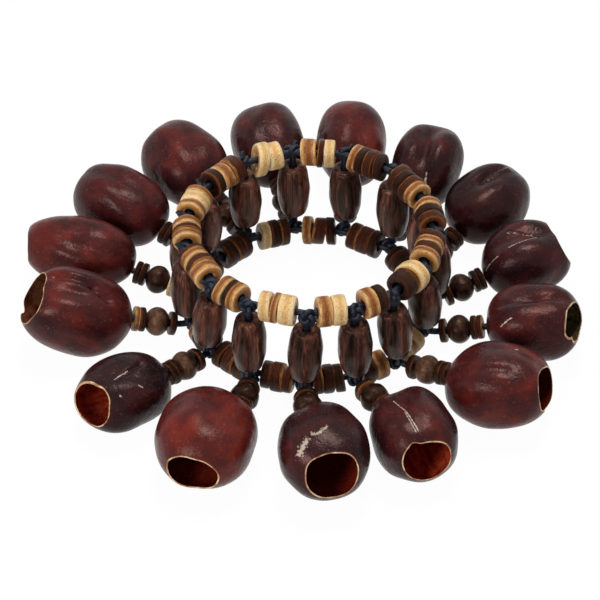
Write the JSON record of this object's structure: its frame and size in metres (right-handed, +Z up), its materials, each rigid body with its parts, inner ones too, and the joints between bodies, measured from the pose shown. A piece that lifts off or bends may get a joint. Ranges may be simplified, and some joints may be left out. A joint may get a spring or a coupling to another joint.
{
  "type": "seed shaker bracelet",
  "caption": "Shaker bracelet of two beaded cord rings held apart by upright wooden barrels, with open hollow seed husks on short beaded tails that knock together.",
  "frame": {"origin": "middle of the wrist opening, at the height of the table that the bracelet lies on", "axes": "+Z up along the wrist; -Y towards the viewer of the picture, +X to the viewer's right"},
  "size_m": [0.1486, 0.145, 0.0349],
  "materials": {
    "coconut": "drilled coconut-shell discs from cream to near black on black braided cord",
    "barrel_wood": "turned dark wood with reddish streaks along the grain, low sheen",
    "dark_wood": "dark turned beads and discs on black cord",
    "seed_case": "satin dark red-brown seed case with pale sawn lip"
  },
  "bodies": {
    "ring": {"upper_string": "coconut", "lower_string": "coconut"},
    "tail_01": {"tail_beads_01": "dark_wood"},
    "tail_02": {"tail_beads_02": "dark_wood"},
    "tail_03": {"tail_beads_03": "dark_wood"},
    "tail_04": {"tail_beads_04": "dark_wood"},
    "tail_05": {"tail_beads_05": "dark_wood"},
    "tail_06": {"tail_beads_06": "dark_wood"},
    "tail_07": {"tail_beads_07": "dark_wood"},
    "tail_08": {"tail_beads_08": "dark_wood"},
    "tail_09": {"tail_beads_09": "dark_wood"},
    "tail_10": {"tail_beads_10": "dark_wood"},
    "tail_11": {"tail_beads_11": "dark_wood"},
    "tail_12": {"tail_beads_12": "dark_wood"},
    "tail_13": {"tail_beads_13": "dark_wood"},
    "tail_14": {"tail_beads_14": "dark_wood"},
    "tail_15": {"tail_beads_15": "dark_wood"},
    "husk_01": {"seed_husk_01": "seed_case"},
    "husk_02": {"seed_husk_02": "seed_case"},
    "husk_03": {"seed_husk_03": "seed_case"},
    "husk_04": {"seed_husk_04": "seed_case"},
    "husk_05": {"seed_husk_05": "seed_case"},
    "husk_06": {"seed_husk_06": "seed_case"},
    "husk_07": {"seed_husk_07": "seed_case"},
    "husk_08": {"seed_husk_08": "seed_case"},
    "husk_09": {"seed_husk_09": "seed_case"},
    "husk_10": {"seed_husk_10": "seed_case"},
    "husk_11": {"seed_husk_11": "seed_case"},
    "husk_12": {"seed_husk_12": "seed_case"},
    "husk_13": {"seed_husk_13": "seed_case"},
    "husk_14": {"seed_husk_14": "seed_case"},
    "husk_15": {"seed_husk_15": "seed_case"},
    "barrel_01": {"barrel_bead_01": "barrel_wood"},
    "barrel_02": {"barrel_bead_02": "barrel_wood"},
    "barrel_03": {"barrel_bead_03": "barrel_wood"},
    "barrel_04": {"barrel_bead_04": "barrel_wood"},
    "barrel_05": {"barrel_bead_05": "barrel_wood"},
    "barrel_06": {"barrel_bead_06": "barrel_wood"},
    "barrel_07": {"barrel_bead_07": "barrel_wood"},
    "barrel_08": {"barrel_bead_08": "barrel_wood"},
    "barrel_09": {"barrel_bead_09": "barrel_wood"},
    "barrel_10": {"barrel_bead_10": "barrel_wood"},
    "barrel_11": {"barrel_bead_11": "barrel_wood"},
    "barrel_12": {"barrel_bead_12": "barrel_wood"},
    "barrel_13": {"barrel_bead_13": "barrel_wood"},
    "barrel_14": {"barrel_bead_14": "barrel_wood"},
    "barrel_15": {"barrel_bead_15": "barrel_wood"}
  },
  "joints": [
    {"name": "tail_01_swing", "type": "hinge", "parent": "ring", "child": "tail_01", "pos_m": [-0.02851, -0.02077, 0.004], "axis": [-0.7071, 0.7071, 0], "range_deg": [-70, 18]},
    {"name": "tail_02_swing", "type": "hinge", "parent": "ring", "child": "tail_02", "pos_m": [-0.01556, -0.03079, 0.004], "axis": [0.9781, -0.2079, 0], "range_deg": [-18, 70]},
    {"name": "tail_03_swing", "type": "hinge", "parent": "ring", "child": "tail_03", "pos_m": [-0.00112, -0.03428, 0.004], "axis": [-0.9945, -0.1045, 0], "range_deg": [-70, 18]},
    {"name": "tail_04_swing", "type": "hinge", "parent": "ring", "child": "tail_04", "pos_m": [0.01361, -0.0317, 0.004], "axis": [0.8572, 0.515, 0], "range_deg": [-18, 70]},
    {"name": "tail_05_swing", "type": "hinge", "parent": "ring", "child": "tail_05", "pos_m": [0.02569, -0.02372, 0.004], "axis": [-0.515, -0.8572, 0], "range_deg": [-70, 18]},
    {"name": "tail_06_swing", "type": "hinge", "parent": "ring", "child": "tail_06", "pos_m": [0.03376, -0.01108, 0.004], "axis": [0.1045, 0.9945, 0], "range_deg": [-18, 70]},
    {"name": "tail_07_swing", "type": "hinge", "parent": "ring", "child": "tail_07", "pos_m": [0.03552, 0.00225, 0.004], "axis": [0.3584, -0.9336, 0], "range_deg": [-70, 18]},
    {"name": "tail_08_swing", "type": "hinge", "parent": "ring", "child": "tail_08", "pos_m": [0.0319, 0.01502, 0.004], "axis": [-0.7193, 0.6947, 0], "range_deg": [-18, 70]},
    {"name": "tail_09_swing", "type": "hinge", "parent": "ring", "child": "tail_09", "pos_m": [0.02343, 0.02568, 0.004], "axis": [0.9205, -0.3907, 0], "range_deg": [-70, 18]},
    {"name": "tail_10_swing", "type": "hinge", "parent": "ring", "child": "tail_10", "pos_m": [0.01, 0.03289, 0.004], "axis": [-0.9962, 0.0872, 0], "range_deg": [-18, 70]},
    {"name": "tail_11_swing", "type": "hinge", "parent": "ring", "child": "tail_11", "pos_m": [-0.00503, 0.03396, 0.004], "axis": [0.9659, 0.2588, 0], "range_deg": [-70, 18]},
    {"name": "tail_12_swing", "type": "hinge", "parent": "ring", "child": "tail_12", "pos_m": [-0.01902, 0.02906, 0.004], "axis": [-0.7771, -0.6293, 0], "range_deg": [-18, 70]},
    {"name": "tail_13_swing", "type": "hinge", "parent": "ring", "child": "tail_13", "pos_m": [-0.02986, 0.01899, 0.004], "axis": [0.515, 0.8572, 0], "range_deg": [-70, 18]},
    {"name": "tail_14_swing", "type": "hinge", "parent": "ring", "child": "tail_14", "pos_m": [-0.03527, 0.00599, 0.004], "axis": [-0.284, -0.9588, 0], "range_deg": [-18, 70]},
    {"name": "tail_15_swing", "type": "hinge", "parent": "ring", "child": "tail_15", "pos_m": [-0.03476, -0.00823, 0.004], "axis": [-0.1219, 0.9925, 0], "range_deg": [-70, 18]},
    {"name": "husk_01_twist", "type": "hinge", "parent": "tail_01", "child": "husk_01", "pos_m": [-0.02851, -0.02077, 0.004], "axis": [-0.6942, -0.6942, 0.1899], "range_deg": [-30, 30]},
    {"name": "husk_02_twist", "type": "hinge", "parent": "tail_02", "child": "husk_02", "pos_m": [-0.01556, -0.03079, 0.004], "axis": [-0.2015, -0.9479, 0.2468], "range_deg": [-30, 30]},
    {"name": "husk_03_twist", "type": "hinge", "parent": "tail_03", "child": "husk_03", "pos_m": [-0.00112, -0.03428, 0.004], "axis": [0.1007, -0.9581, 0.2682], "range_deg": [-30, 30]},
    {"name": "husk_04_twist", "type": "hinge", "parent": "tail_04", "child": "husk_04", "pos_m": [0.01361, -0.0317, 0.004], "axis": [0.4993, -0.831, 0.2454], "range_deg": [-30, 30]},
    {"name": "husk_05_twist", "type": "hinge", "parent": "tail_05", "child": "husk_05", "pos_m": [0.02569, -0.02372, 0.004], "axis": [0.8304, -0.4989, 0.2481], "range_deg": [-30, 30]},
    {"name": "husk_06_twist", "type": "hinge", "parent": "tail_06", "child": "husk_06", "pos_m": [0.03376, -0.01108, 0.004], "axis": [0.9658, -0.1015, 0.2386], "range_deg": [-30, 30]},
    {"name": "husk_07_twist", "type": "hinge", "parent": "tail_07", "child": "husk_07", "pos_m": [0.03552, 0.00225, 0.004], "axis": [0.9087, 0.3488, 0.2294], "range_deg": [-30, 30]},
    {"name": "husk_08_twist", "type": "hinge", "parent": "tail_08", "child": "husk_08", "pos_m": [0.0319, 0.01502, 0.004], "axis": [0.6771, 0.7011, 0.2236], "range_deg": [-30, 30]},
    {"name": "husk_09_twist", "type": "hinge", "parent": "tail_09", "child": "husk_09", "pos_m": [0.02343, 0.02568, 0.004], "axis": [0.3783, 0.8911, 0.2506], "range_deg": [-30, 30]},
    {"name": "husk_10_twist", "type": "hinge", "parent": "tail_10", "child": "husk_10", "pos_m": [0.01, 0.03289, 0.004], "axis": [0.0842, 0.9628, 0.2567], "range_deg": [-30, 30]},
    {"name": "husk_11_twist", "type": "hinge", "parent": "tail_11", "child": "husk_11", "pos_m": [-0.00503, 0.03396, 0.004], "axis": [-0.251, 0.9368, 0.2438], "range_deg": [-30, 30]},
    {"name": "husk_12_twist", "type": "hinge", "parent": "tail_12", "child": "husk_12", "pos_m": [-0.01902, 0.02906, 0.004], "axis": [-0.6066, 0.7491, 0.2662], "range_deg": [-30, 30]},
    {"name": "husk_13_twist", "type": "hinge", "parent": "tail_13", "child": "husk_13", "pos_m": [-0.02986, 0.01899, 0.004], "axis": [-0.8324, 0.5002, 0.2385], "range_deg": [-30, 30]},
    {"name": "husk_14_twist", "type": "hinge", "parent": "tail_14", "child": "husk_14", "pos_m": [-0.03527, 0.00599, 0.004], "axis": [-0.9405, 0.2786, 0.1945], "range_deg": [-30, 30]},
    {"name": "husk_15_twist", "type": "hinge", "parent": "tail_15", "child": "husk_15", "pos_m": [-0.03476, -0.00823, 0.004], "axis": [-0.9538, -0.1171, 0.2766], "range_deg": [-30, 30]},
    {"name": "barrel_01_spin", "type": "hinge", "parent": "ring", "child": "barrel_01", "pos_m": [-0.0271, -0.01881, 0.004], "axis": [0.0964, -0.0696, 0.9929], "continuous": true},
    {"name": "barrel_02_spin", "type": "hinge", "parent": "ring", "child": "barrel_02", "pos_m": [-0.01573, -0.02825, 0.004], "axis": [0.0177, 0.0167, 0.9997], "continuous": true},
    {"name": "barrel_03_spin", "type": "hinge", "parent": "ring", "child": "barrel_03", "pos_m": [-0.00175, -0.03196, 0.004], "axis": [0.0447, 0.0174, 0.9988], "continuous": true},
    {"name": "barrel_04_spin", "type": "hinge", "parent": "ring", "child": "barrel_04", "pos_m": [0.01201, -0.02987, 0.004], "axis": [-0.0336, 0.0103, 0.9994], "continuous": true},
    {"name": "barrel_05_spin", "type": "hinge", "parent": "ring", "child": "barrel_05", "pos_m": [0.02327, -0.02302, 0.004], "axis": [-0.1056, -0.0547, 0.9929], "continuous": true},
    {"name": "barrel_06_spin", "type": "hinge", "parent": "ring", "child": "barrel_06", "pos_m": [0.03127, -0.01147, 0.004], "axis": [-0.0961, -0.1238, 0.9876], "continuous": true},
    {"name": "barrel_07_spin", "type": "hinge", "parent": "ring", "child": "barrel_07", "pos_m": [0.03349, 0.00056, 0.004], "axis": [-0.0382, -0.0624, 0.9973], "continuous": true},
    {"name": "barrel_08_spin", "type": "hinge", "parent": "ring", "child": "barrel_08", "pos_m": [0.03084, 0.0125, 0.004], "axis": [-0.0112, -0.0651, 0.9978], "continuous": true},
    {"name": "barrel_09_spin", "type": "hinge", "parent": "ring", "child": "barrel_09", "pos_m": [0.02327, 0.02302, 0.004], "axis": [-0.0417, 0.0007, 0.9991], "continuous": true},
    {"name": "barrel_10_spin", "type": "hinge", "parent": "ring", "child": "barrel_10", "pos_m": [0.01035, 0.03043, 0.004], "axis": [-0.0321, -0.0117, 0.9994], "continuous": true},
    {"name": "barrel_11_spin", "type": "hinge", "parent": "ring", "child": "barrel_11", "pos_m": [-0.00408, 0.03176, 0.004], "axis": [-0.0166, -0.0214, 0.9996], "continuous": true},
    {"name": "barrel_12_spin", "type": "hinge", "parent": "ring", "child": "barrel_12", "pos_m": [-0.01725, 0.02743, 0.004], "axis": [-0.0169, -0.0381, 0.9991], "continuous": true},
    {"name": "barrel_13_spin", "type": "hinge", "parent": "ring", "child": "barrel_13", "pos_m": [-0.02777, 0.01789, 0.004], "axis": [-0.014, -0.0806, 0.9966], "continuous": true},
    {"name": "barrel_14_spin", "type": "hinge", "parent": "ring", "child": "barrel_14", "pos_m": [-0.03309, 0.00501, 0.004], "axis": [0.0313, -0.044, 0.9985], "continuous": true},
    {"name": "barrel_15_spin", "type": "hinge", "parent": "ring", "child": "barrel_15", "pos_m": [-0.03236, -0.00828, 0.004], "axis": [0.0311, 0.0249, 0.9992], "continuous": true}
  ]
}
